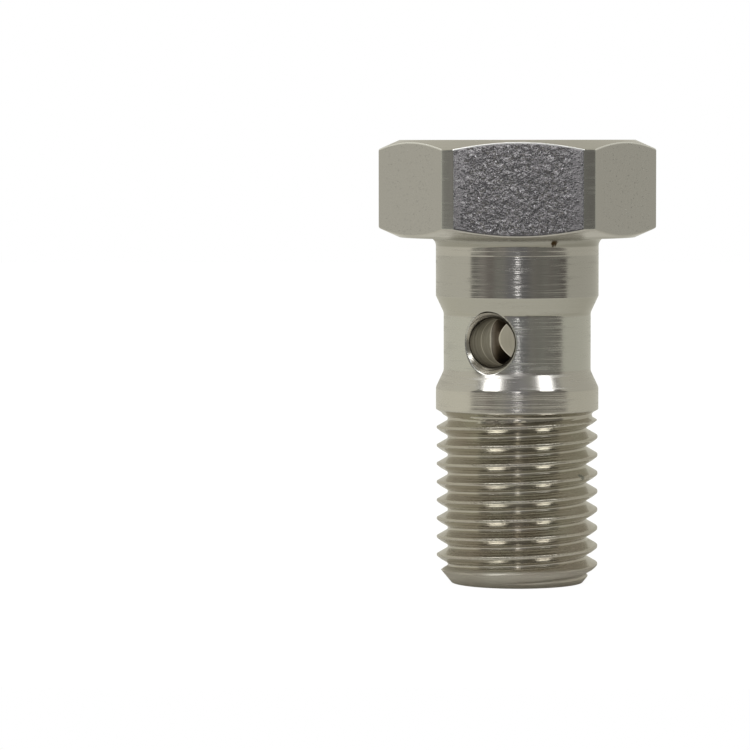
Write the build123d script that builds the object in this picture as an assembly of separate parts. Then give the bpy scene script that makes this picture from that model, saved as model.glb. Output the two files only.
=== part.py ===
from build123d import *
from math import cos, radians, sin, tan
import os

# Banjo bolt: a headed screw drilled so that fluid can pass from its tip to the eye of a banjo fitting.
# It is turned and drilled from one length of hexagon bar, so it is one solid.
# Millimetres and degrees. The origin is the centre of the tip face, +Z runs up the shank to the head,
# and one flat of the head faces -Y.

# Hexagon head: the bar's corners are turned down a little, and both ends are chamfered
bar_across_flats = 14.22
corner_turned_off = 0.21
head_height = 5.6
head_face_inset = 0.31
head_chamfer_angle = 24.0
head_edge_radius = 0.15

# Shank, from the tip face to under the head: its two lands, which carry the banjo eye, and the threaded
# end are all turned to one diameter
shank_length = 20.0
shank_diameter = 9.4
upper_land_length = 3.38
under_head_radius = 0.5

# Waist: the neck that leaves room for fluid round the bolt inside the banjo eye
waist_depth = 0.45
lower_land_top = 11.32
shoulder_angle = 25.0
shoulder_radius = 0.5

# Threaded end, 3/8-24 UNF: a plain blank, whose surface is the crest of the thread
thread_length = 9.39
tip_chamfer_depth = 0.895
tip_chamfer_angle = 40.0

# Run-out groove between the thread and the lower land, cut with a 60 degree thread tool
groove_depth = 0.38
groove_angle = 60.0
groove_root_radius = 0.2

# Oil way: a blind bore up from the tip and a cross hole through both walls of the waist
oil_bore_diameter = 3.0
oil_bore_past_cross_hole = 0.3
oil_bore_mouth_chamfer = 0.25
drill_point_angle = 118.0
cross_hole_diameter = 2.78
cross_hole_height = 14.05
cross_hole_turn = 23.1
countersink_diameter = 3.56
countersink_angle = 70.0


def slope_length(rise, angle):
    # How far along the axis a slope runs while it rises by this much, at this angle from the axis
    return rise / tan(radians(angle))


def head_corners():
    # The chamfered head's half outline, as (radius, height), from its lower face to its upper one
    flat = bar_across_flats / 2
    face = flat - head_face_inset
    corner = flat / cos(radians(30)) - corner_turned_off
    chamfer = (corner - face) * tan(radians(head_chamfer_angle))
    top = shank_length + head_height
    return [
        (face, shank_length),
        (corner, shank_length + chamfer),
        (corner, top - chamfer),
        (face, top),
    ]


def tip_and_thread():
    shank = shank_diameter / 2
    return [
        (shank - tip_chamfer_depth, 0),
        (shank, slope_length(tip_chamfer_depth, tip_chamfer_angle)),
        (shank, thread_length),
    ]


def run_out_groove():
    # A sharp V, from its apex to its upper edge. The apex is rounded afterwards, down to the groove's depth
    flank = radians(groove_angle / 2)
    shank = shank_diameter / 2
    apex_depth = groove_depth + groove_root_radius / sin(flank) - groove_root_radius
    half_width = apex_depth * tan(flank)
    return [(shank - apex_depth, thread_length + half_width), (shank, thread_length + 2 * half_width)]


def waist_and_lands():
    land = shank_diameter / 2
    waist = land - waist_depth
    shoulder = slope_length(waist_depth, shoulder_angle)
    upper_land = shank_length - upper_land_length
    return [
        (land, lower_land_top),
        (waist, lower_land_top + shoulder),
        (waist, upper_land - shoulder),
        (land, upper_land),
        (land, shank_length),
    ]


def turned_bar():
    shank = waist_and_lands()
    groove = run_out_groove()
    outline = [(0, 0), *tip_and_thread(), *groove, *shank, *head_corners(), (0, shank_length + head_height)]
    rounded_corners = [
        (groove[0], groove_root_radius),
        (shank[1], shoulder_radius),
        (shank[2], shoulder_radius),
        (shank[4], under_head_radius),
    ]
    section = make_face(Polyline(*outline, close=True))
    for corner, radius in rounded_corners:
        section = fillet(section.vertices().sort_by_distance(corner)[0], radius)
    return revolve(Plane.XZ * section, Axis.Z)


def hexagon_bar():
    hexagon = RegularPolygon(radius=bar_across_flats / 2, side_count=6, major_radius=False)
    return extrude(hexagon, shank_length + head_height)


def rounded_head(blank):
    # Every edge of the six flats is lightly rounded, where they meet the chamfers and the turned corners
    top = shank_length + head_height
    edges = blank.edges().filter_by_position(Axis.Z, shank_length, top, inclusive=(False, False))
    return fillet(edges.filter_by(GeomType.CIRCLE, reverse=True), head_edge_radius)


def oil_bore():
    radius = oil_bore_diameter / 2
    mouth = radius + oil_bore_mouth_chamfer
    shoulder = cross_hole_height + cross_hole_diameter / 2 + oil_bore_past_cross_hole
    point = shoulder + slope_length(radius, drill_point_angle / 2)
    outline = [(0, 0), (mouth, 0), (radius, oil_bore_mouth_chamfer), (radius, shoulder), (0, point)]
    return revolve(Plane.XZ * make_face(Polyline(*outline, close=True)), Axis.Z)


def cross_hole():
    # Drilled through both walls and countersunk from both sides, made as a drill that stands on Z
    radius = cross_hole_diameter / 2
    rim = countersink_diameter / 2
    reach = shank_diameter / 2
    wall = reach - waist_depth
    flare = tan(radians(countersink_angle / 2))
    sink = wall - (rim - radius) / flare
    outline = [(0, 0), (radius, 0), (radius, sink), (rim + (reach - wall) * flare, reach), (0, reach)]
    half = revolve(Plane.XZ * make_face(Polyline(*outline, close=True)), Axis.Z)
    drill = Rot(90, 0, 0) * (half + mirror(half, Plane.XY))
    return Pos(0, 0, cross_hole_height) * Rot(0, 0, -cross_hole_turn) * drill


def banjo_bolt():
    blank = turned_bar() & hexagon_bar()
    return rounded_head(blank) - oil_bore() - cross_hole()


os.makedirs("parts", exist_ok=True)
export_step(banjo_bolt(), "parts/banjo_bolt.step")
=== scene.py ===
from math import atan2, cos, degrees, hypot, pi, radians, sin, sqrt, tan

import bmesh
import bpy
import numpy as np
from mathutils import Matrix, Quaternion, Vector


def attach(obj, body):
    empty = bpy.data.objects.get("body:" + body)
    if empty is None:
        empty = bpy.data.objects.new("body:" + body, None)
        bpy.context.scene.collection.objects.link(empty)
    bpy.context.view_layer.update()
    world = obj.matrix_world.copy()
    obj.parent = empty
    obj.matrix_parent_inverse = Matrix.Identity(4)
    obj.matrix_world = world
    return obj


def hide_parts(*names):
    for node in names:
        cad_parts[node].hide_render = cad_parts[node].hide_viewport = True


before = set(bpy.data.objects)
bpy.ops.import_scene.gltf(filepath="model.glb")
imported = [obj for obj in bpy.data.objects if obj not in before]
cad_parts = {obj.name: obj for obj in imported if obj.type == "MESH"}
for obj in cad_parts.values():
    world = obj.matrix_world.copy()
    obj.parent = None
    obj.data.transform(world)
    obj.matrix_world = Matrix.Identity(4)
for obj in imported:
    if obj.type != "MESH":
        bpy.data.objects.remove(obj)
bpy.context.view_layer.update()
print("frame loaded")

# A banjo bolt, modelled in millimetres round the Z axis and scaled to metres at the end.
# Turns are degrees round Z from +X; sections are lists of (radius, height).


def roundedCorner(before, corner, after, radius, steps):
    # The arc that rounds one corner of an outline
    toBefore = (Vector(before) - Vector(corner)).normalized()
    toAfter = (Vector(after) - Vector(corner)).normalized()
    halfAngle = toBefore.angle(toAfter) / 2
    centre = Vector(corner) + (toBefore + toAfter).normalized() * (radius / sin(halfAngle))
    first = (Vector(corner) + toBefore * (radius / tan(halfAngle)) - centre).normalized()
    last = (Vector(corner) + toAfter * (radius / tan(halfAngle)) - centre).normalized()
    return [tuple(centre + radius * first.slerp(last, n / steps)) for n in range(steps + 1)]


def turnedSection(corners, support=0.04):
    # Corners are (radius, height, rounding, arc steps, parts of the straight that follows).
    # Each rounded corner gets a supporting point on both sides, so that the straights shade flat
    points = []
    for n, (radius, height, rounding, steps, parts) in enumerate(corners):
        here = Vector((radius, height))
        if rounding:
            before, after = Vector(corners[n - 1][:2]), Vector(corners[n + 1][:2])
            arc = [Vector(p) for p in roundedCorner(before, here, after, rounding, steps)]
            arc.insert(0, arc[0] + (before - here).normalized() * support)
            arc.append(arc[-1] + (after - here).normalized() * support)
        else:
            arc = [here]
        if points:
            start, parts = points[-1], corners[n - 1][4]
            points += [start.lerp(arc[0], k / parts) for k in range(1, parts)]
        points += arc
    return [tuple(p) for p in points]


def spinSection(bm, section, steps, startTurn=0.0, turns=1, rise=0.0):
    # Spins a section round Z, as a closed ring or as a screw that rises by so much per turn
    start = radians(startTurn)
    chain = [bm.verts.new((r * cos(start), r * sin(start), z)) for r, z in section]
    for row, vert in enumerate(chain):
        vert[rowLayer] = row
    edges = [bm.edges.new(pair) for pair in zip(chain, chain[1:])]
    known = set(bm.verts) - set(chain)
    bmesh.ops.spin(
        bm, geom=chain + edges, cent=(0, 0, 0), axis=(0, 0, 1), dvec=(0, 0, rise / steps),
        angle=2 * pi, steps=steps, use_merge=not rise,
    )
    oneTurn = [v for v in bm.verts if v not in known]
    turnFaces = list({f for v in oneTurn for f in v.link_faces})
    turnEdges = list({e for v in oneTurn for e in v.link_edges})
    oneTurn += turnFaces + turnEdges
    for n in range(1, turns):
        copy = bmesh.ops.duplicate(bm, geom=oneTurn)["geom"]
        copied = [v for v in copy if isinstance(v, bmesh.types.BMVert)]
        bmesh.ops.translate(bm, vec=(0, 0, rise * n), verts=copied)
    bmesh.ops.remove_doubles(bm, verts=[v for v in bm.verts if v not in known], dist=mergeDistance)
    return [v for v in bm.verts if v not in known]


def growRing(bm, loop, place, finish=0):
    # Extrudes an open edge loop; place(turn) says where the new point at that turn of the loop goes
    made = bmesh.ops.extrude_edge_only(bm, edges=loop)["geom"]
    for part in made:
        if isinstance(part, bmesh.types.BMVert):
            part.co = place(part[turnLayer])
        if isinstance(part, bmesh.types.BMFace):
            part.material_index = finish
    return [e for e in made if isinstance(e, bmesh.types.BMEdge) and e.is_boundary]


def turnOf(point):
    return degrees(atan2(point[1], point[0])) % 360


def turnedBy(point, turn):
    # How far a point is turned past this direction, from -180 to 180
    return (turnOf(point) - turn + 180) % 360 - 180

bm = bmesh.new()
rowLayer = bm.verts.layers.int.new("row")
turnLayer = bm.verts.layers.float.new("turn")
columns = 192  # round the bolt
mergeDistance = 0.0005

head = {
    "toFlat": 7.11, "toCorner": 8.0, "faceRadius": 6.8, "bottom": 20.0, "top": 25.6,
    "chamferAngle": 24.0, "rounding": 0.15, "firstFlat": -90.0,
    "topInset": 0.3, "topMiddle": 3.5,
}


def headPlan():
    # The head's outline seen from above as (turn, radius), one point per column: flats that run through
    # small roundings into the turned corners
    e, flat, corner = head["rounding"], head["toFlat"], head["toCorner"]
    centre = Vector((sqrt((corner - e) ** 2 - (flat - e) ** 2), flat - e))
    cornerTurn = atan2(centre.x, centre.y)
    arc = [centre + e * Vector((sin(b), cos(b))) for b in (cornerTurn * n / 4 for n in range(5))]
    flatEnd = arc[0].x
    half = [Vector((x, flat)) for x in np.linspace(0, flatEnd - 0.05, 10)] + arc
    strip = [cornerTurn + (radians(30) - cornerTurn) * n / 2 for n in (1, 2)]
    half += [corner * Vector((sin(t), cos(t))) for t in strip]
    side = [(degrees(atan2(p.x, p.y)), p.length) for p in half]
    sector = [(-t, r) for t, r in side[:0:-1]] + side[:-1]
    return [(head["firstFlat"] + 60 * n + t, r) for n in range(6) for t, r in sector]


def headSection(reach):
    # The head's half section in the direction where its side stands this far out
    slope = radians(head["chamferAngle"])
    face, bottom, top = head["faceRadius"], head["bottom"], head["top"]
    chamfer = (reach - face) * tan(slope)
    corners = [
        (face, bottom, 0, 0, 3),
        (reach, bottom + chamfer, head["rounding"], 4, 6),
        (reach, top - chamfer, head["rounding"], 4, 3),
        (face, top, 0, 0, 1),
    ]
    return turnedSection(corners) + [(face - head["topInset"], top), (head["topMiddle"], top), (0, top)]

plan = headPlan()
headVerts = spinSection(bm, headSection(head["toCorner"]), columns)
for vert in headVerts:
    column = round(turnOf(vert.co) / 360 * columns) % columns
    turn, reach = plan[column]
    radius, height = headSection(reach)[vert[rowLayer]]
    vert.co = (radius * cos(radians(turn)), radius * sin(radians(turn)), height)
print("head", len(bm.verts))

shank = {
    "radius": 4.7, "waist": 4.25, "length": 20.0, "underHead": 0.5,
    "grooveRoot": 9.725, "grooveDepth": 0.38, "grooveRounding": 0.2, "grooveTop": 10.06,
    "lowerLandTop": 11.32, "lowerWaist": 12.285, "upperWaist": 15.655, "upperLandBottom": 16.62,
    "blend": 0.5, "edge": 0.08, "shoulderEdge": 0.22, "windowLow": 11.7, "windowHigh": 16.24,
    "grooveFlank": 30.0,
}
thread = {
    "pitch": 1.05833, "crest": 4.655, "root": 4.015, "crestFlat": 0.17, "crestRounding": 0.045,
    "flank": 30.0, "facet": 0.24, "facetAngle": 38.0, "facetRounding": 0.08, "firstCrest": 1.03,
    "tipRadius": 3.805, "tipAngle": 40.0, "soft": 0.03, "top": 10.0, "turns": 11,
    "fadeStart": 8 * 360 + 200, "fadeEnd": 8 * 360 + 262, "closing": 0.2,
}
grooveApex = shank["radius"] - shank["grooveDepth"] - shank["grooveRounding"]
shankCorners = [
    (shank["radius"], 2 * shank["grooveRoot"] - shank["grooveTop"], 0, 0, 1),
    (grooveApex, shank["grooveRoot"], shank["grooveRounding"], 10, 3),
    (shank["radius"], shank["grooveTop"], shank["edge"] / 2, 3, 4),
    (shank["radius"], shank["lowerLandTop"], shank["shoulderEdge"], 4, 5),
    (shank["waist"], shank["lowerWaist"], shank["blend"], 4, 14),
    (shank["waist"], shank["upperWaist"], shank["blend"], 4, 5),
    (shank["radius"], shank["upperLandBottom"], shank["edge"], 3, 10),
    (shank["radius"], shank["length"], shank["underHead"], 8, 2),
    (head["faceRadius"], shank["length"], 0, 0, 1),
]
wholeShank = turnedSection(shankCorners)
shankSection = [p for p in wholeShank if p[1] > thread["top"] + 0.005][:-1]
shankHeights = [z for r, z in shankSection]
shankRadii = [r for r, z in shankSection]


def onShank(turn, height):
    radius = np.interp(height, shankHeights, shankRadii)
    return Vector((radius * cos(radians(turn)), radius * sin(radians(turn)), height))

crossHole = {
    "height": 14.05, "turn": 246.9, "radius": 1.39, "sinkStart": 3.693, "sinkAngle": 35.0,
    "edge": 0.05, "halfWindow": 30.0, "surfaceRings": 9, "surfaceCrowding": 1.3, "sinkRings": 4,
    "tubeRings": 8, "innerEdge": 0.02, "innerEdgeDepth": 0.03, "tubeStart": 0.06,
}
oilBore = {
    "radius": 1.5, "mouth": 1.75, "mouthDepth": 0.25, "mouthSupport": 0.35, "shoulder": 15.74,
    "point": 16.64, "windowHalf": 1.6, "columns": 64,
}

shankVerts = spinSection(bm, shankSection, columns, startTurn=crossHole["turn"])
print("shank", len(bm.verts), len(shankSection))


def windowLoop(verts, turn, halfTurn, low, high):
    # Opens a window in a turned wall. Returns its edge loop, with each point's turn round the drill marked
    faces = set()
    for face in {f for v in verts if v.is_valid for f in v.link_faces}:
        middle = face.calc_center_median()
        if abs(turnedBy(middle, turn)) < halfTurn and low < middle.z < high:
            faces.add(face)
    loop = [e for e in {e for f in faces for e in f.edges} if any(f not in faces for f in e.link_faces)]
    bmesh.ops.delete(bm, geom=list(faces), context="FACES")
    points = list({v for e in loop for v in e.verts})
    heights = [v.co.z for v in points]
    middle, half = (max(heights) + min(heights)) / 2, (max(heights) - min(heights)) / 2

    def roundTheDrill(vert):
        return atan2((vert.co.z - middle) / half, turnedBy(vert.co, turn) / halfTurn)

    points.sort(key=roundTheDrill)
    corner = min(range(len(points)), key=lambda n: abs(roundTheDrill(points[n]) - pi / 4))
    for n, vert in enumerate(points):
        vert[turnLayer] = 45 + 360 * (n - corner) / len(points)
    return loop, {round(v[turnLayer] % 360, 3): v.co.copy() for v in points}


def drillPoint(drillTurn, reach, radius, turn):
    # A point on the drill's own surface, this far out along it and this far from its axis
    side, rise = radius * cos(radians(turn)), radius * sin(radians(turn))
    along = radians(drillTurn)
    return Vector((
        reach * cos(along) - side * sin(along),
        reach * sin(along) + side * cos(along),
        crossHole["height"] + rise,
    ))


def sinkReach(radius):
    return crossHole["sinkStart"] + (radius - crossHole["radius"]) / tan(radians(crossHole["sinkAngle"]))


def rimRadius(turn):
    # How far from the drill's axis the countersink breaks through the shank
    radius = crossHole["radius"]
    for n in range(30):
        side, rise = radius * cos(radians(turn)), radius * sin(radians(turn))
        wall = min(np.interp(crossHole["height"] + rise, shankHeights, shankRadii), shank["waist"] + 0.01)
        depth = sqrt(wall ** 2 - side ** 2) - crossHole["sinkStart"]
        radius = crossHole["radius"] + depth * tan(radians(crossHole["sinkAngle"]))
    return radius


def eased(start, corner, end, t):
    # A point on the curve that eases one edge
    return start.lerp(corner, t).lerp(corner.lerp(end, t), t)


def boreHeights():
    low = crossHole["height"] - oilBore["windowHalf"]
    high = crossHole["height"] + oilBore["windowHalf"]
    support = oilBore["mouthSupport"]
    below = [(oilBore["mouth"], 0), (oilBore["radius"], oilBore["mouthDepth"])]
    below.append((oilBore["radius"], support))
    below += [(oilBore["radius"], z) for z in np.linspace(support, low, 13)[1:-1]]
    between = [(oilBore["radius"], z) for z in np.linspace(low, high, 33)]
    halfWay = (oilBore["shoulder"] + oilBore["point"]) / 2
    above = [(oilBore["radius"], oilBore["shoulder"]), (oilBore["radius"] / 2, halfWay)]
    return below + between + above + [(0, oilBore["point"])]

boreVerts = spinSection(bm, boreHeights(), oilBore["columns"], startTurn=crossHole["turn"] + 90)

for drillTurn in (crossHole["turn"], crossHole["turn"] - 180):
    loop, edgePoints = windowLoop(
        shankVerts, drillTurn, crossHole["halfWindow"], shank["windowLow"], shank["windowHigh"],
    )
    shankVerts = [v for v in shankVerts if v.is_valid]
    rims = {turn: rimRadius(turn) for turn in edgePoints}
    edge = crossHole["edge"]
    sinkEnd = crossHole["radius"] + crossHole["innerEdge"]

    def outside(turn, past=0.0):
        # The shank's surface just outside the rim
        point = drillPoint(drillTurn, 0, rims[turn] + past, turn)
        side = (rims[turn] + past) * cos(radians(turn))
        wall = np.interp(point.z, shankHeights, shankRadii)
        return drillPoint(drillTurn, sqrt(wall ** 2 - side ** 2), rims[turn] + past, turn)

    def surfaceRing(share):
        def place(turn):
            start, end = edgePoints[round(turn % 360, 3)], outside(round(turn % 360, 3), 2 * edge)
            across = turnedBy(start, drillTurn) * (1 - share) + turnedBy(end, drillTurn) * share
            return onShank(drillTurn + across, start.z * (1 - share) + end.z * share)
        return place

    def rimRing(share):
        def place(turn):
            turn = round(turn % 360, 3)
            inside = drillPoint(drillTurn, sinkReach(rims[turn] - edge), rims[turn] - edge, turn)
            return eased(outside(turn, edge), outside(turn), inside, share)
        return place

    def sinkRing(share):
        def place(turn):
            turn = round(turn % 360, 3)
            start = rims[turn] - 1.5 * edge
            radius = start + (sinkEnd - start) * share
            return drillPoint(drillTurn, sinkReach(radius), radius, turn)
        return place

    def innerEdgeRing(share):
        def place(turn):
            start = drillPoint(drillTurn, sinkReach(sinkEnd), sinkEnd, turn)
            corner = drillPoint(drillTurn, crossHole["sinkStart"], crossHole["radius"], turn)
            below = crossHole["sinkStart"] - crossHole["innerEdgeDepth"]
            end = drillPoint(drillTurn, below, crossHole["radius"], turn)
            return eased(start, corner, end, share)
        return place

    def tubeRing(share):
        def place(turn):
            side = crossHole["radius"] * cos(radians(turn))
            start = crossHole["sinkStart"] - crossHole["tubeStart"]
            end = sqrt(oilBore["radius"] ** 2 - side ** 2)
            return drillPoint(drillTurn, start + (end - start) * share, crossHole["radius"], turn)
        return place

    count, crowding = crossHole["surfaceRings"], crossHole["surfaceCrowding"]
    onSurface = [surfaceRing(1 - (1 - n / count) ** crowding) for n in range(1, count + 1)]
    onSurface += [rimRing(n / 3) for n in range(4)]
    sunk = [sinkRing(n / crossHole["sinkRings"]) for n in range(crossHole["sinkRings"] + 1)]
    sunk += [innerEdgeRing(n / 2) for n in (1, 2)]
    drilled = [tubeRing(n / crossHole["tubeRings"]) for n in range(crossHole["tubeRings"] + 1)]
    for place in onSurface:
        loop = growRing(bm, loop, place)
    for place in sunk:
        loop = growRing(bm, loop, place, finish=6)
    for place in drilled:
        loop = growRing(bm, loop, place, finish=3)

    boreLow = crossHole["height"] - oilBore["windowHalf"]
    boreHigh = crossHole["height"] + oilBore["windowHalf"]
    loop, borePoints = windowLoop(boreVerts, drillTurn, 90, boreLow, boreHigh)
    boreVerts = [v for v in boreVerts if v.is_valid]

    def boreRing(share):
        def place(turn):
            start = borePoints[round(turn % 360, 3)]
            end = tubeRing(1)(turn)
            across = turnedBy(start, drillTurn) * (1 - share) + turnedBy(end, drillTurn) * share
            around = radians(drillTurn + across)
            height = start.z * (1 - share) + end.z * share
            return Vector((oilBore["radius"] * cos(around), oilBore["radius"] * sin(around), height))
        return place

    for share in (0.5, 1):
        loop = growRing(bm, loop, boreRing(share))
print("holes", len(bm.verts))


def threadSection():
    # One pitch, from the middle of a groove to the middle of the next
    p, crest, root = thread["pitch"], thread["crest"], thread["root"]
    slope = tan(radians(thread["flank"]))
    rootFlat = p / 2 - thread["crestFlat"] / 2 - (crest - root) * slope
    apex = root - rootFlat / slope
    firstRoot = thread["firstCrest"] - p / 2
    facet, facetSlope = thread["facet"], tan(radians(thread["facetAngle"]))
    lowEdge = firstRoot + p / 2 - thread["crestFlat"] / 2
    corners = [
        (crest, firstRoot - p / 2 + thread["crestFlat"] / 2, 0, 0, 1),
        (apex, firstRoot, rootFlat / slope, 10, 3),
        (crest - facet, lowEdge - facet * slope, thread["facetRounding"], 2, 2),
        (crest, lowEdge + facet * (facetSlope - slope), thread["crestRounding"], 3, 1),
        (crest, firstRoot + p / 2 + thread["crestFlat"] / 2, thread["crestRounding"], 3, 3),
        (apex, firstRoot + p, rootFlat / slope, 10, 1),
        (crest, firstRoot + 3 * p / 2 - thread["crestFlat"] / 2, 0, 0, 1),
    ]
    section = turnedSection(corners, support=0.02)
    return [q for q in section if firstRoot - 0.001 < q[1] < firstRoot + p + 0.001]


def softMin(a, b, k):
    h = max(k - abs(a - b), 0) / k
    return min(a, b) - h * h * k / 4


def grooveRadius(height):
    # How far out the run-out groove's wall stands at this height
    away = abs(height - shank["grooveRoot"])
    e = shank["grooveRounding"]
    flank = radians(shank["grooveFlank"])
    if away < e * cos(flank):
        return shank["radius"] - shank["grooveDepth"] + e - sqrt(e * e - away * away)
    return grooveApex + away / tan(flank)

section = [(r, z - 2 * thread["pitch"]) for r, z in threadSection()]
threadVerts = spinSection(bm, section, columns, turns=thread["turns"] + 1, rise=thread["pitch"])
firstRoot = thread["firstCrest"] - thread["pitch"] / 2
for vert in threadVerts:
    turn, height = turnOf(vert.co), vert.co.z
    groove = round((height - firstRoot) / thread["pitch"] - turn / 360)
    wound = 360 * groove + turn
    fade = min(max((wound - thread["fadeStart"]) / (thread["fadeEnd"] - thread["fadeStart"]), 0), 1)
    fade = fade * fade * (3 - 2 * fade)
    radius = hypot(vert.co.x, vert.co.y)
    # The last groove grows as shallow as the run-out groove, and its upper side closes there
    shallow = thread["root"] + (shank["radius"] - shank["grooveDepth"] - thread["root"]) * fade
    radius = -softMin(-radius, -shallow, thread["soft"]) if fade else radius
    above = min(max((height - shank["grooveRoot"]) / thread["closing"] + 0.5, 0), 1)
    radius += (thread["crest"] - radius) * fade * above
    cone = thread["tipRadius"] + height * tan(radians(thread["tipAngle"]))
    radius = softMin(radius, cone, thread["soft"])
    radius = softMin(radius, max(grooveRadius(height), 0), thread["soft"])
    vert.co = (radius * cos(radians(turn)), radius * sin(radians(turn)), height)

for height, outward in ((0, -1), (thread["top"], 1)):
    part = [v for v in threadVerts if v.is_valid]
    geometry = part + list({e for v in part for e in v.link_edges})
    geometry += list({f for v in part for f in v.link_faces})
    known = set(bm.verts)
    bmesh.ops.bisect_plane(
        bm, geom=geometry, dist=mergeDistance, plane_co=(0, 0, height), plane_no=(0, 0, outward),
        clear_outer=True,
    )
    threadVerts = [v for v in threadVerts if v.is_valid] + [v for v in bm.verts if v not in known]
print("thread", len(bm.verts))

bmesh.ops.remove_doubles(bm, verts=bm.verts, dist=mergeDistance)


def openRing(low, high, inner, outer):
    # The open edges between these heights and radii
    def inside(vert):
        return low <= vert.co.z <= high and inner <= hypot(vert.co.x, vert.co.y) <= outer
    return [e for e in bm.edges if e.is_boundary and all(inside(v) for v in e.verts)]

for name, upper, lower in (
    ("under head", openRing(19.9, 20.1, 6, 7), openRing(19.9, 20.1, 5, 5.5)),
    ("run-out", openRing(10.002, 10.07, 4, 5), openRing(9.99, 10.002, 4, 5)),
):
    print("join", name, len(upper), len(lower))
    bmesh.ops.bridge_loops(bm, edges=upper + lower)
tipRings = openRing(-0.01, 0.01, 1, 5)
bmesh.ops.triangle_fill(bm, edges=tipRings, use_beauty=True, normal=(0, 0, -1))
print("tip face", len(tipRings))
bmesh.ops.recalc_face_normals(bm, faces=bm.faces)
print("open edges", sum(not e.is_manifold for e in bm.edges))

crease = 23.0  # degrees above which an edge shades sharp
headSide = 6.9  # the head's sides lie further out than this


def finishOf(face):
    # Which finish a face has: 0 turned, 1 thread, 2 flats, 3 cross hole, 4 oil bore, 5 turned corners,
    # 6 countersink
    middle = face.calc_center_median()
    out = hypot(middle.x, middle.y)
    offFlat = (turnOf(face.normal) - head["firstFlat"] + 30) % 60 - 30
    if middle.z > head["bottom"] and out > headSide and -0.3 < face.normal.z < 0.8:
        if abs(offFlat) < 2 or face.normal.z > 0.3 and abs(offFlat) < 20:
            return 2
        return 5 if face.normal.z < 0.3 else 0
    if 0 < middle.z < 17 and out < oilBore["radius"] + 0.01:
        return 4
    if middle.z < 0.001:
        return 0
    if middle.z < thread["top"] and out > 3.0:
        return 1
    return face.material_index

for face in bm.faces:
    face.smooth = True
    face.material_index = finishOf(face)
for edge in bm.edges:
    if edge.is_manifold:
        edge.smooth = edge.calc_face_angle() < radians(crease)

bmesh.ops.scale(bm, vec=(0.001, 0.001, 0.001), verts=bm.verts)
mesh = bpy.data.meshes.new("boltBody")
bm.to_mesh(mesh)
bm.free()
bolt = bpy.data.objects.new("boltBody", mesh)
bpy.context.scene.collection.objects.link(bolt)
print("triangles", sum(len(p.vertices) - 2 for p in mesh.polygons))


class Wire:
    # An output socket that adds Math nodes as it is used in sums
    def __init__(self, nodes, socket):
        self.nodes, self.socket = nodes, socket

    def maths(self, operation, *values):
        return self.nodes.add("ShaderNodeMath", {"operation": operation}, dict(enumerate(values)))

    def __add__(self, other): return self.maths("ADD", self, other)
    def __radd__(self, other): return self.maths("ADD", other, self)
    def __sub__(self, other): return self.maths("SUBTRACT", self, other)
    def __rsub__(self, other): return self.maths("SUBTRACT", other, self)
    def __mul__(self, other): return self.maths("MULTIPLY", self, other)
    def __rmul__(self, other): return self.maths("MULTIPLY", other, self)
    def __truediv__(self, other): return self.maths("DIVIDE", self, other)
    def __pow__(self, other): return self.maths("POWER", self, other)

    def size(self):
        return self.maths("ABSOLUTE", self)

    def steps(self, low, high):
        # 0 below low, 1 above high, smooth between
        inputs = {0: self, 1: low, 2: high, 3: 0.0, 4: 1.0}
        return self.nodes.add("ShaderNodeMapRange", {"interpolation_type": "SMOOTHSTEP"}, inputs)

    def within(self, low, high, soft):
        return self.steps(low - soft, low + soft) * (1 - self.steps(high - soft, high + soft))


class Nodes:
    # A node tree that is built by calls
    def __init__(self, tree):
        self.tree = tree
        tree.nodes.clear()

    def add(self, kind, settings=None, inputs=None, output=0):
        node = self.tree.nodes.new(kind)
        for name, value in (settings or {}).items():
            setattr(node, name, value)
        for name, value in (inputs or {}).items():
            if isinstance(value, Wire):
                self.tree.links.new(value.socket, node.inputs[name])
            else:
                node.inputs[name].default_value = value
        return Wire(self, node.outputs[output]) if len(node.outputs) else None

    def noise(self, place, scale, detail=2.0):
        return self.add("ShaderNodeTexNoise", None, {"Vector": place, "Scale": scale, "Detail": detail})

    def lines(self, along, scale, detail=2.0):
        settings = {"noise_dimensions": "1D"}
        return self.add("ShaderNodeTexNoise", settings, {"W": along, "Scale": scale, "Detail": detail})

    def bumps(self, place, scale):
        # Separate bumps from 0 to 1 high, ragged in outline, about 1 / scale apart
        inputs = {"Vector": place, "Scale": scale * 1.5}
        ragged = self.add("ShaderNodeTexNoise", None, inputs, output="Color")
        settings = {"operation": "MULTIPLY_ADD"}
        moved = self.add("ShaderNodeVectorMath", settings, {0: ragged, 1: (0.7 / scale,) * 3, 2: place})
        inputs = {"Vector": moved, "Scale": scale}
        far = self.add("ShaderNodeTexVoronoi", None, inputs, output="Distance")
        chance = splitVector(self, self.add("ShaderNodeTexVoronoi", None, inputs, output="Color"))[0]
        return (1 - far.steps(0.04, 0.46)) * chance.steps(0.25, 1.0)

    def mix(self, factor, first, second):
        return self.add("ShaderNodeMix", {"data_type": "RGBA"}, {0: factor, 6: first, 7: second}, output=2)

    def stretched(self, place, across, along):
        # The same place with its scale changed round and along the bolt
        inputs = {0: place, 1: (across, across, along)}
        return self.add("ShaderNodeVectorMath", {"operation": "MULTIPLY"}, inputs)

    def spot(self, place, mark):
        # 1 inside a small mark, 0 outside it
        centre = tuple(value / 1000 for value in mark["place"])
        settings = {"operation": "DISTANCE"}
        far = self.add("ShaderNodeVectorMath", settings, {0: place, 1: centre}, output="Value")
        ragged = far * 1000 + (self.noise(place, 9000.0) - 0.5) * mark["size"]
        return 1 - ragged.steps(mark["size"] * 0.6, mark["size"])


def newMaterial(name):
    material = bpy.data.materials.new(name)
    material.use_nodes = True
    return material, Nodes(material.node_tree)


def splitVector(nodes, vector):
    return [nodes.add("ShaderNodeSeparateXYZ", None, {0: vector}, output=n) for n in range(3)]


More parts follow.
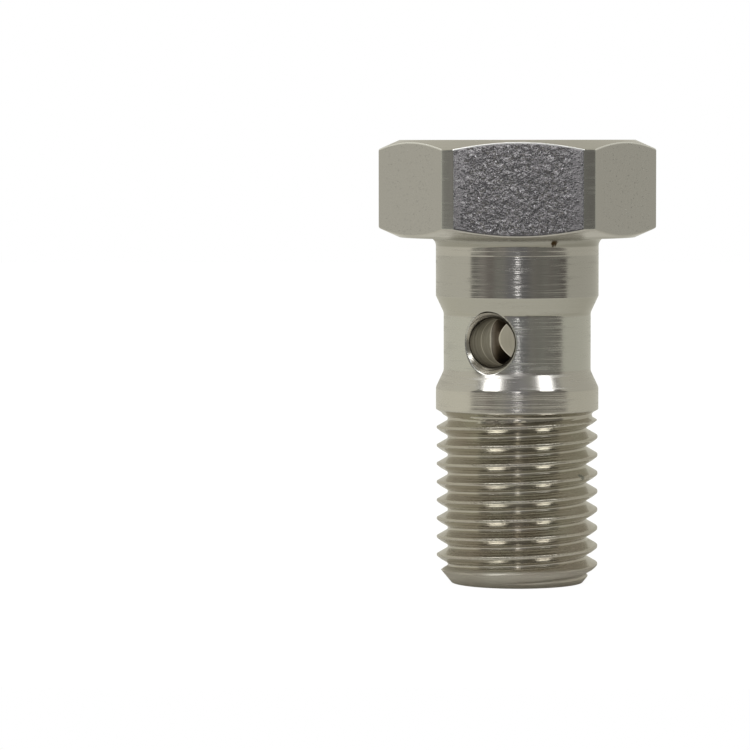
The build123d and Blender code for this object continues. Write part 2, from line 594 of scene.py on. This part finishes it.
def metal(nodes, colour, roughness, height):
    # Bare metal with this relief, whose height is in millimetres
    bump = nodes.add("ShaderNodeBump", None, {"Strength": 1.0, "Distance": 0.001, "Height": height})
    inputs = {"Base Color": colour, "Metallic": 1.0, "Roughness": roughness, "Normal": bump}
    shader = nodes.add("ShaderNodeBsdfPrincipled", None, inputs)
    nodes.add("ShaderNodeOutputMaterial", None, {"Surface": shader})

marks = {
    "underHead": {"place": (2.1, -4.4, 19.68), "size": 0.28, "colour": (0.07, 0.045, 0.02, 1)},
    "threadNick": {"place": (3.62, -2.7, 6.3), "size": 0.26, "colour": (0.28, 0.28, 0.24, 1)},
}


def turnedSteel(name, finish):
    # Lathe-turned steel: fine rings round the bolt, scuffs that run with them, a few marks, and bands of
    # painted light and shade
    material, nodes = newMaterial(name)
    place = nodes.add("ShaderNodeTexCoord", output="Object")
    x, y, z = (part * 1000 for part in splitVector(nodes, place))
    radius = (x * x + y * y) ** 0.5
    wander = nodes.noise(place, 260.0)
    along = z + radius + wander * 0.06
    fine = nodes.lines(along, finish["fineScale"], 3.0) - 0.5
    broad = nodes.lines(along, finish["broadScale"]) - 0.5
    scuffs = nodes.noise(nodes.stretched(place, 350.0, 5200.0), 1.0, 3.0).steps(0.5, 0.75)
    patch = nodes.noise(place, 450.0, 3.0)
    height = fine * finish["fineHeight"] + broad * finish["broadHeight"]
    micro = finish["microHeight"]
    for low, high, added in finish.get("microBands", ()):
        micro = z.within(low, high, 0.02) * added + micro
    height = height + (nodes.lines(z + radius * 0.5, finish["microScale"], 1.0) - 0.5) * micro
    for low, high, amount in finish.get("calm", ()):
        height = height * (1 - z.within(low, high, 0.04) * amount)
    for toolLine in finish.get("toolLines", ()):
        height = height + z.steps(toolLine - 0.025, toolLine + 0.025) * (patch * 0.024 - 0.005)
        height = height + (z.maths("MAXIMUM", z, toolLine) - toolLine) * 0.08
    height = height + nodes.noise(nodes.stretched(place, 1500.0, 9000.0), 1.0) * finish["scuffHeight"]
    height = height + nodes.noise(place, 8000.0) * finish["speckHeight"] * radius.steps(4.45, 4.6)
    roughness = finish["roughness"] + scuffs * finish["scuffRoughness"] + patch * 0.04
    for low, high, added in finish.get("bands", ()):
        roughness = roughness + z.within(low, high, 0.05) * added
    if "crestRoughness" in finish:
        roughness = roughness + radius.steps(4.5, 4.6) * finish["crestRoughness"]
    worn = fine * 0.5 + patch * 0.8 - 0.1
    colour = nodes.mix(worn * finish["contrast"], finish["light"], finish["deep"])
    # Bands along the bolt get a lighter or darker colour: painted light and shade, with painted shade on
    # the fillet under the head
    for low, high, paintedColour in finish.get("paintedLightAndShade", ()):
        colour = nodes.mix(z.within(low, high, 0.06), colour, paintedColour)
    for mark in marks.values():
        inside = nodes.spot(place, mark)
        colour = nodes.mix(inside, colour, mark["colour"])
        roughness = roughness + inside * 0.4
    metal(nodes, colour, roughness, height)
    return material


def drilledSteel(name, finish):
    # The wall of the cross hole or of its countersinks: rings round the drill, painted light on the far
    # side, a worn edge where it meets the oil bore lightened as a painted highlight, and one tool ridge
    # drawn as a painted highlight
    material, nodes = newMaterial(name)
    place = nodes.add("ShaderNodeTexCoord", output="Object")
    x, y = (part * 1000 for part in splitVector(nodes, place)[:2])
    radius = (x * x + y * y) ** 0.5
    turn = radians(crossHole["turn"])
    depth = x * cos(turn) + y * sin(turn)
    rings = nodes.lines(depth + nodes.noise(place, 400.0) * 0.1, 4.5, 3.0)
    patch = nodes.noise(place, 900.0, 3.0)
    # The worn edge where the hole meets the oil bore: wear, lightened as a painted highlight
    edge = (1 - (radius + patch * 0.2).steps(1.62, 1.72)) * radius.steps(1.495, 1.505)
    colour = nodes.mix(rings * 0.7 + patch * 0.5 - 0.1, finish["light"], finish["deep"])
    # The far side of the hole and the far countersink are lightened: painted light
    far = 1 - depth.steps(-0.5, 0.5)
    colour = nodes.mix(far * finish["farGlow"] + edge * finish["edgeGlow"], colour, finish["edge"])
    flare = depth.maths("MAXIMUM", depth.size(), crossHole["sinkStart"]) - crossHole["sinkStart"]
    height = rings * finish["ringHeight"] + patch * 0.006 - flare * flare * finish["flare"]
    # One ring at a set depth lightened: the tool ridge's painted highlight
    ridgeHighlight = depth.within(finish["ridgeHighlight"] - 0.05, finish["ridgeHighlight"] + 0.05, 0.04)
    colour = nodes.mix(ridgeHighlight * finish["markGlow"], colour, finish["edge"])
    metal(nodes, colour, finish["roughness"] + patch * 0.1, height)
    return material


def grainySteel(name, finish):
    # The flats of the hexagon: drawn bar with a coarse grain; the flats that face the camera and the back
    # are darkened as painted shade, with painted glints on them and a painted highlight along the top edge
    material, nodes = newMaterial(name)
    place = nodes.add("ShaderNodeTexCoord", output="Object")
    waves = nodes.noise(place, finish["waveScale"], 3.0)
    patch = nodes.noise(place, 700.0, 3.0)
    x, y, z = (part * 1000 for part in splitVector(nodes, place))
    radius = (x * x + y * y) ** 0.5
    inner = 1 - radius.steps(7.5, 7.85) * 0.8
    # The flats that face the camera and the back get a darker colour than the side flats: painted shade
    front = y.size().steps(7.04, 7.10)
    colour = nodes.mix(front, finish["side"], nodes.mix(patch * 0.5, finish["light"], finish["deep"]))
    # Small lighter spots on the front and back flats: painted glints
    paintedGlints = nodes.bumps(place, finish["sparkScale"]).steps(0.45, 0.8) * inner
    colour = nodes.mix(paintedGlints * front, colour, finish["paintedGlint"])
    # A near-white line along the top edge of the flats: painted highlight
    topEdge = head["top"] - (radius - head["faceRadius"]) * tan(radians(head["chamferAngle"])) - z
    edge = 1 - topEdge.steps(0.03, 0.10)
    colour = nodes.mix(edge, colour, finish["edge"])
    height = (waves - 0.5) * finish["waveHeight"]
    for scale, bump in finish["bumps"]:
        height = height + nodes.bumps(place, scale) * bump
    height = height * inner
    metal(nodes, colour, finish["roughness"] + patch * 0.08 + edge * 0.2, height)
    return material

finishes = {
    "turned": {
        "roughness": 0.09, "scuffRoughness": 0.25, "contrast": 0.5, "speckHeight": 0.0,
        "fineScale": 6.0, "fineHeight": 0.016, "broadScale": 1.4, "broadHeight": 0.012,
        "scuffHeight": 0.0015, "toolLines": (19.0,),
        "bands": ((10.0, 11.27, 0.06), (11.4, 12.5, 0.1), (12.5, 15.4, 0.05)),
        "microScale": 22.0, "microHeight": 0.002,
        "microBands": ((10.0, 11.27, 0.006), (12.4, 15.5, 0.003), (16.7, 17.5, 0.004)),
        "calm": (
            (10.1, 11.25, 0.4), (11.3, 12.4, 0.85), (12.4, 15.5, 0.3), (15.5, 16.65, 0.85),
            (19.42, 20.4, 0.85),
        ),
        # Painted light and shade by height: darker on the under-head fillet, upper shoulder and upper
        # land, lighter on the lower land and waist
        "paintedLightAndShade": (
            (19.5, 20.12, (0.41, 0.40, 0.36, 1)), (15.55, 16.6, (0.52, 0.51, 0.46, 1)),
            (10.1, 11.25, (0.66, 0.64, 0.59, 1)), (16.62, 19.0, (0.52, 0.51, 0.48, 1)),
            (12.4, 15.5, (0.61, 0.61, 0.57, 1)),
        ),
        "light": (0.60, 0.585, 0.55, 1), "deep": (0.50, 0.48, 0.44, 1),
    },
    "thread": {
        "roughness": 0.12, "scuffRoughness": 0.15, "contrast": 1.0, "speckHeight": 0.02,
        "crestRoughness": 0.04, "fineScale": 9.0, "fineHeight": 0.0008, "broadScale": 2.0,
        "broadHeight": 0.0, "scuffHeight": 0.0008,
        "microScale": 30.0, "microHeight": 0.0, "bands": ((-0.1, 0.75, 0.22), (0.80, 1.02, 0.4)),
        "light": (0.565, 0.555, 0.485, 1), "deep": (0.465, 0.40, 0.355, 1),
    },
    "flats": {
        # light and deep are the darker colour of the front and back flats: painted shade; the lighter
        # spots are painted glints and edge is a painted highlight
        "roughness": 0.12, "waveScale": 3000.0, "waveHeight": 0.022,
        "bumps": ((5500.0, 0.03), (9000.0, 0.012)),
        "light": (0.29, 0.285, 0.285, 1), "deep": (0.23, 0.225, 0.23, 1), "side": (0.50, 0.49, 0.47, 1),
        "sparkScale": 6000.0, "paintedGlint": (0.52, 0.52, 0.53, 1), "edge": (0.95, 0.95, 0.93, 1),
    },
    "drilled": {
        # The wall is darker than the turned steel: painted shade in the hole; edge is the colour of the
        # painted light and painted highlights
        "roughness": 0.28, "light": (0.45, 0.43, 0.365, 1), "deep": (0.21, 0.185, 0.145, 1),
        "edge": (0.95, 0.91, 0.82, 1), "ringHeight": 0.014, "flare": 0.0, "ridgeHighlight": 2.06,
        "farGlow": 0.28, "edgeGlow": 0.8, "markGlow": 0.6,
    },
    "sunk": {
        # edge is the colour of the painted light on the far countersink
        "roughness": 0.20, "light": (0.62, 0.595, 0.53, 1), "deep": (0.48, 0.45, 0.39, 1),
        "edge": (0.75, 0.70, 0.62, 1), "ringHeight": 0.02, "flare": 0.32, "ridgeHighlight": 9.0,
        "farGlow": 0.28, "edgeGlow": 0.8, "markGlow": 0.6,
    },
    "bore": {
        # A dark brown wall: painted shade inside the oil bore
        "roughness": 0.30, "scuffRoughness": 0.1, "contrast": 1.0, "speckHeight": 0.0,
        "fineScale": 4.0, "fineHeight": 0.01, "broadScale": 1.0, "broadHeight": 0.0, "scuffHeight": 0.002,
        "microScale": 30.0, "microHeight": 0.0,
        "light": (0.26, 0.22, 0.18, 1), "deep": (0.13, 0.10, 0.085, 1),
    },
    "corners": {
        "roughness": 0.20, "scuffRoughness": 0.1, "contrast": 0.5, "speckHeight": 0.0,
        "fineScale": 6.0, "fineHeight": 0.002, "broadScale": 1.4, "broadHeight": 0.0, "scuffHeight": 0.001,
        "microScale": 22.0, "microHeight": 0.002,
        "light": (0.545, 0.555, 0.53, 1), "deep": (0.455, 0.455, 0.43, 1),
    },
}
for material in (
    turnedSteel("turnedSteel", finishes["turned"]),
    turnedSteel("threadSteel", finishes["thread"]),
    grainySteel("grainySteel", finishes["flats"]),
    drilledSteel("drilledSteel", finishes["drilled"]),
    turnedSteel("boreSteel", finishes["bore"]),
    turnedSteel("cornerSteel", finishes["corners"]),
    drilledSteel("sunkSteel", finishes["sunk"]),
):
    mesh.materials.append(material)

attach(bolt, "root")
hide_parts("banjo_bolt")
print("bolt finished")

# The studio is a pale tent, dark on the camera's side, with a strip, a window and a top light above
# one another over the camera, and two soft lamps. Turns are degrees to the right of the camera as the
# bolt sees it

studio = {
    "tent": 0.60, "lean": 0.12, "dark": 0.225, "darkLean": 0.06, "darkLeft": -69.5, "darkRight": 74.0,
    "darkLow": -26.0, "soft": 1.5,
    "strip": 4.3, "stripHalf": 1.2, "stripLow": 0.5, "stripHigh": 12.0,
    "window": 1.3, "windowHalf": 3.8, "windowLow": 13.0, "windowHigh": 36.0,
    "top": 1.6, "topHalf": 13.0, "topLow": 58.0, "topHigh": 84.0, "darkRise": 0.004, "mottle": 2.0,
    "mottleScale": 3.2, "tintScale": 4.1,
    "axisHalf": 16.0, "lampDistance": 0.5, "lampLight": 3.4,
    "lamps": ({"turn": -45.7, "rise": 52.5, "wide": 0.18, "tall": 0.31, "lean": 5.0},
              {"turn": 53.0, "rise": 51.0, "wide": 0.15, "tall": 0.31, "lean": -14.0}),
    "tentColour": (1.0, 0.975, 0.85, 1), "darkColour": (0.985, 0.985, 0.88, 1),
    "redColour": (1.04, 0.95, 0.87, 1), "axisColour": (1.0, 0.985, 1.0, 1),
    "lampColour": (0.97, 0.98, 1.0), "lampTarget": 0.012,
}

world = bpy.data.worlds.new("studio")
bpy.context.scene.world = world
world.use_nodes = True
nodes = Nodes(world.node_tree)
bearing = nodes.add("ShaderNodeTexCoord", output="Generated")
dx, dy, dz = splitVector(nodes, bearing)
turnAway = dx.maths("ARCTAN2", dx, 0 - dy) * (180 / pi)
rise = dz.maths("ARCSINE", dz) * (180 / pi)
soft = studio["soft"]
front = turnAway.within(studio["darkLeft"], studio["darkRight"], soft) * rise.steps(
    studio["darkLow"] - 3 * soft, studio["darkLow"] + 3 * soft)
nearAxis = 1 - turnAway.size().steps(studio["axisHalf"] - 8, studio["axisHalf"] + 8)
strip = (1 - turnAway.size().steps(studio["stripHalf"] - 0.5, studio["stripHalf"] + 0.5)) * rise.within(
    studio["stripLow"], studio["stripHigh"], 2.0)
window = (1 - turnAway.size().steps(studio["windowHalf"] - 1, studio["windowHalf"] + 1)) * rise.within(
    studio["windowLow"], studio["windowHigh"], 3.0)
tent = studio["tent"] * (1 - dx * studio["lean"])
mottle = 1 + (nodes.noise(bearing, studio["mottleScale"], 3.0) - 0.5) * studio["mottle"]
dark = (studio["dark"] - dx * studio["darkLean"]) * (1 + rise * studio["darkRise"]) * mottle
top = (1 - turnAway.size().steps(studio["topHalf"] - 2, studio["topHalf"] + 2)) * rise.within(
    studio["topLow"], studio["topHigh"], 3.0)
level = tent + front * (dark - tent)
level = level + strip * studio["strip"] + window * studio["window"] + top * studio["top"]
tint = nodes.noise(bearing, studio["tintScale"], 2.0).steps(0.4, 0.6)
darkColour = nodes.mix(tint, studio["darkColour"], studio["redColour"])
darkColour = nodes.mix(nearAxis, darkColour, studio["axisColour"])
colour = nodes.mix(front, studio["tentColour"], darkColour)
light = nodes.add("ShaderNodeBackground", None, {"Color": colour, "Strength": level})
white = nodes.add("ShaderNodeBackground", None, {"Color": (1, 1, 1, 1), "Strength": 1.0})
seen = nodes.add("ShaderNodeLightPath", output="Is Camera Ray")
mixed = nodes.add("ShaderNodeMixShader", None, {0: seen, 1: light, 2: white})
nodes.add("ShaderNodeOutputWorld", None, {"Surface": mixed})

for made in studio["lamps"]:
    turn, high = radians(made["turn"] - 90), radians(made["rise"])
    lamp = bpy.data.lights.new("softLamp", "AREA")
    lamp.shape, lamp.size, lamp.size_y = "RECTANGLE", made["wide"], made["tall"]
    lamp.energy = studio["lampLight"] * pi * made["wide"] * made["tall"]
    lamp.color = studio["lampColour"]
    lampObject = bpy.data.objects.new("softLamp", lamp)
    away = Vector((cos(turn) * cos(high), sin(turn) * cos(high), sin(high)))
    lampObject.location = Vector((0, 0, studio["lampTarget"])) + away * studio["lampDistance"]
    facing = away.to_track_quat("Z", "Y") @ Quaternion((0, 0, 1), radians(made["lean"]))
    lampObject.rotation_euler = facing.to_euler()
    bpy.context.scene.collection.objects.link(lampObject)

# The floor is plain pale paper, whose edge lies a little in front of the bolt
floorSize = {"left": -0.5, "right": 0.5, "front": -0.045, "back": 0.6}
paperLook = {
    "colour": (0.84, 0.83, 0.80, 1), "glow": 1.12, "glowShare": 0.85, "sheenShare": 0.95,
    "sheenFrom": 0.006, "sheenTo": 0.04,
}
floorShape = bmesh.new()
bmesh.ops.create_grid(floorShape, x_segments=1, y_segments=1, size=0.5)
for vert in floorShape.verts:
    vert.co.x = floorSize["left"] if vert.co.x < 0 else floorSize["right"]
    vert.co.y = floorSize["front"] if vert.co.y < 0 else floorSize["back"]
floorMesh = bpy.data.meshes.new("floor")
floorShape.to_mesh(floorMesh)
floorShape.free()
floor = bpy.data.objects.new("floor", floorMesh)
bpy.context.scene.collection.objects.link(floor)
paper, nodes = newMaterial("paper")
px, py = splitVector(nodes, nodes.add("ShaderNodeTexCoord", output="Object"))[:2]
out = (px * px + py * py + 1e-6) ** 0.5
diffuse = nodes.add("ShaderNodeBsdfDiffuse", None, {"Color": paperLook["colour"]})
glow = nodes.add("ShaderNodeEmission", None, {"Color": (1, 1, 1, 1), "Strength": paperLook["glow"]})
sheen = nodes.add("ShaderNodeEmission", None, {
    "Color": studio["tentColour"], "Strength": studio["tent"] * (1 - px / out * studio["lean"]),
})
far = out.steps(paperLook["sheenFrom"], paperLook["sheenTo"])
seen = nodes.add("ShaderNodeLightPath", output="Is Camera Ray")
mirrored = nodes.add("ShaderNodeLightPath", output="Is Glossy Ray")
sheenShare = mirrored * far * paperLook["sheenShare"]
lit = nodes.add("ShaderNodeMixShader", None, {0: sheenShare, 1: diffuse, 2: sheen})
mixed = nodes.add("ShaderNodeMixShader", None, {0: seen * paperLook["glowShare"], 1: lit, 2: glow})
nodes.add("ShaderNodeOutputMaterial", None, {"Surface": mixed})
floorMesh.materials.append(paper)

camera = {
    "distance": 230.7, "height": 25.6, "turn": -0.6, "down": 3.371, "left": 2.039, "roll": 0.07,
    "lens": 191.52, "sensor": 36,
}
lens = bpy.data.cameras.new("camera")
lens.sensor_width, lens.lens, lens.clip_start = camera["sensor"], camera["lens"], 0.01
eye = bpy.data.objects.new("camera", lens)
around = radians(camera["turn"])
away = camera["distance"] / 1000
eye.location = (away * sin(around), -away * cos(around), camera["height"] / 1000)
facing = around + radians(camera["left"])
eye.rotation_euler = (radians(90 - camera["down"]), radians(camera["roll"]), facing)
bpy.context.scene.collection.objects.link(eye)
bpy.context.scene.camera = eye
bpy.context.scene.view_settings.view_transform = "Standard"
print("studio ready")
